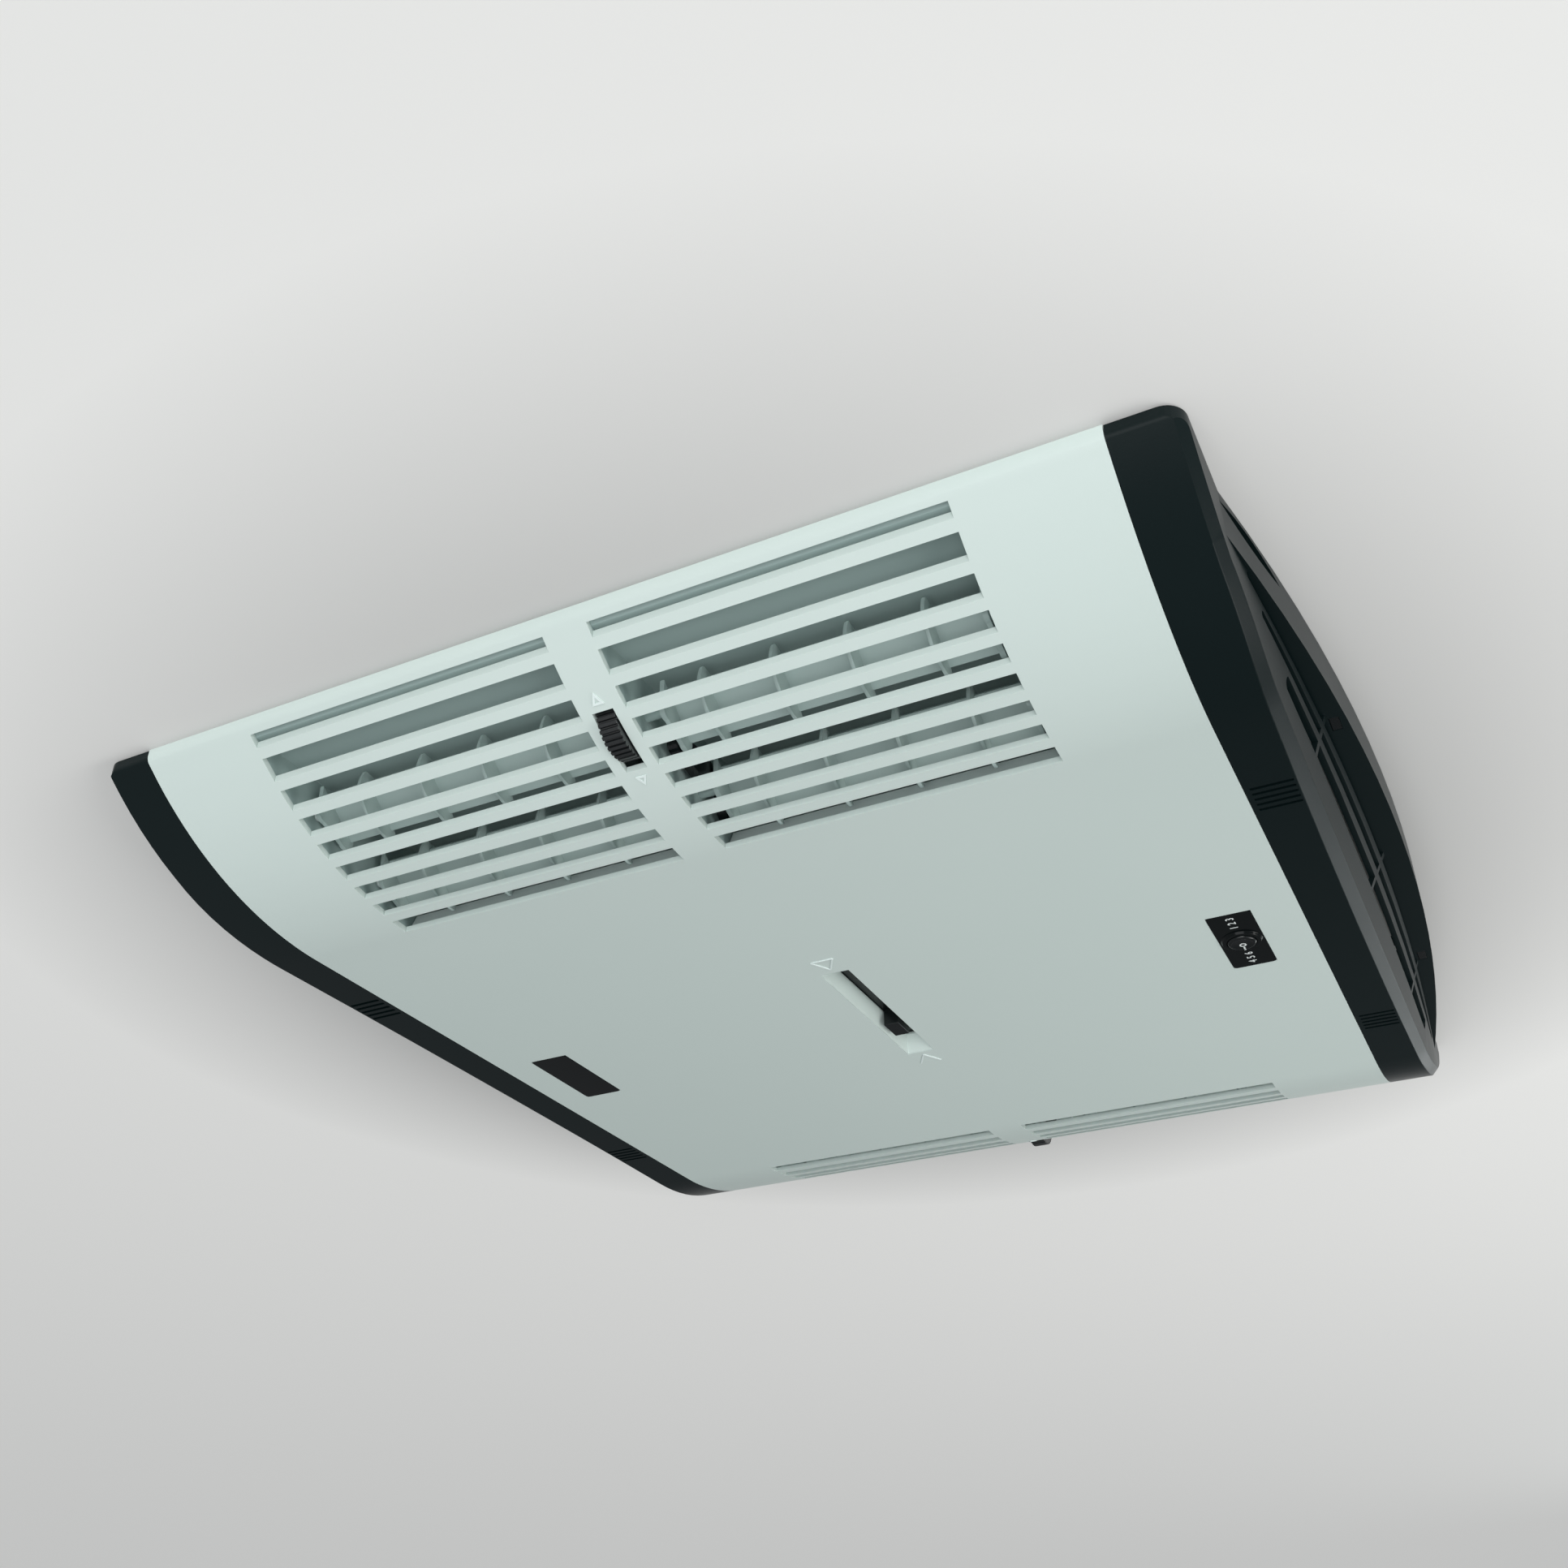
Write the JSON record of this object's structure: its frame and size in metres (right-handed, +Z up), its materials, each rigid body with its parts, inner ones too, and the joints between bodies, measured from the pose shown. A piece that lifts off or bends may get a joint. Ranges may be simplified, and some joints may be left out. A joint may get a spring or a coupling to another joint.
{
  "type": "air conditioner ceiling distributor",
  "caption": "Ceiling air distributor of a rooftop air conditioner with louvred outlets, air slider, knob and pull-off filter end caps.",
  "frame": {"origin": "middle of the four bolt holes in the ceiling contact plane, which is the top of the cover, the foam strips and the bolt bosses", "axes": "+Z up as installed with the visible face towards -Z, +X towards the knob's end cap, +Y from the front outlets to the rear outlets"},
  "size_m": [0.492, 0.557, 0.0802],
  "materials": {
    "white_plastic": "fine satin grain",
    "light_plastic": "satin",
    "grey_plastic": "satin",
    "black_plastic": "fine matt grain",
    "black_gloss": "polished",
    "sheet_metal": "rolled",
    "steel": "plated",
    "foam": "closed cell foam",
    "filter_mat": "woven mesh",
    "board_green": "solder resist"
  },
  "bodies": {
    "housing": {"cover_panel": "white_plastic", "base_frame": "grey_plastic", "duct_collar": "sheet_metal", "collar_seal": "foam", "ceiling_gasket": "foam", "front_housing": "light_plastic", "rear_housing": "light_plastic", "air_plenum": "light_plastic", "slider_guides": "light_plastic", "knob_plate": "black_gloss", "receiver_window": "black_gloss", "rotary_control": "steel", "control_board": "board_green", "receiver_board": "board_green", "signal_receiver": "black_gloss", "plug_socket": "light_plastic", "board_screws": "steel", "cover_screws": "steel", "return_sensor": "black_plastic"},
    "air_slider": {"slider_lever": "black_plastic", "slider_shield": "black_plastic", "air_diverter": "light_plastic"},
    "knob": {"control_knob": "black_plastic"},
    "right_cap": {"right_end_cap": "black_plastic", "right_filter_frame": "black_plastic", "right_filter_mat": "filter_mat", "right_cap_clips": "black_plastic"},
    "left_cap": {"left_end_cap": "black_plastic", "left_filter_frame": "black_plastic", "left_filter_mat": "filter_mat", "left_cap_clips": "black_plastic"},
    "front_upper_louvre": {"front_upper_blade_left": "light_plastic", "front_upper_blade_right": "light_plastic", "front_upper_axle": "light_plastic", "front_upper_pins": "light_plastic", "front_wheel": "black_plastic"},
    "front_lower_louvre": {"front_lower_blade_left": "light_plastic", "front_lower_blade_right": "light_plastic", "front_lower_axle": "light_plastic", "front_lower_pins": "light_plastic"},
    "front_link": {"front_link_bar": "black_plastic"},
    "rear_upper_louvre": {"rear_upper_blade_left": "light_plastic", "rear_upper_blade_right": "light_plastic", "rear_upper_axle": "light_plastic", "rear_upper_pins": "light_plastic", "rear_wheel": "black_plastic"},
    "rear_lower_louvre": {"rear_lower_blade_left": "light_plastic", "rear_lower_blade_right": "light_plastic", "rear_lower_axle": "light_plastic", "rear_lower_pins": "light_plastic"},
    "rear_link": {"rear_link_bar": "black_plastic"}
  },
  "joints": [
    {"name": "air_slide", "type": "slide", "parent": "housing", "child": "air_slider", "axis": [0, 1, 0], "range_m": [-0.055, 0.015]},
    {"name": "knob_turn", "type": "hinge", "parent": "housing", "child": "knob", "pos_m": [0.1722, -0.0005, -0.046], "axis": [0, 0, -1], "range_deg": [-135, 135]},
    {"name": "right_cap_pull", "type": "slide", "parent": "housing", "child": "right_cap", "axis": [1, 0, 0], "range_m": [0, 0.05]},
    {"name": "left_cap_pull", "type": "slide", "parent": "housing", "child": "left_cap", "axis": [-1, 0, 0], "range_m": [0, 0.05]},
    {"name": "front_wheel_turn", "type": "hinge", "parent": "housing", "child": "front_upper_louvre", "pos_m": [0, -0.2324, -0.0214], "axis": [1, 0, 0], "range_deg": [-4, 40]},
    {"name": "front_lower_turn", "type": "hinge", "parent": "housing", "child": "front_lower_louvre", "pos_m": [0, -0.191, -0.0319], "axis": [1, 0, 0], "range_deg": [-4, 40]},
    {"name": "front_link_turn", "type": "hinge", "parent": "front_upper_louvre", "child": "front_link", "pos_m": [0.0143, -0.2183, -0.0268], "axis": [1, 0, 0], "range_deg": [-40, 4]},
    {"name": "rear_wheel_turn", "type": "hinge", "parent": "housing", "child": "rear_upper_louvre", "pos_m": [0, 0.2324, -0.0214], "axis": [-1, 0, 0], "range_deg": [-4, 40]},
    {"name": "rear_lower_turn", "type": "hinge", "parent": "housing", "child": "rear_lower_louvre", "pos_m": [0, 0.191, -0.0319], "axis": [-1, 0, 0], "range_deg": [-4, 40]},
    {"name": "rear_link_turn", "type": "hinge", "parent": "rear_upper_louvre", "child": "rear_link", "pos_m": [0.0143, 0.2183, -0.0268], "axis": [-1, 0, 0], "range_deg": [-40, 4]}
  ],
  "couplings": [
    {"joint": "front_lower_turn", "follows": "front_wheel_turn", "ratio": 1},
    {"joint": "front_link_turn", "follows": "front_wheel_turn", "ratio": -1},
    {"joint": "rear_lower_turn", "follows": "rear_wheel_turn", "ratio": 1},
    {"joint": "rear_link_turn", "follows": "rear_wheel_turn", "ratio": -1}
  ]
}
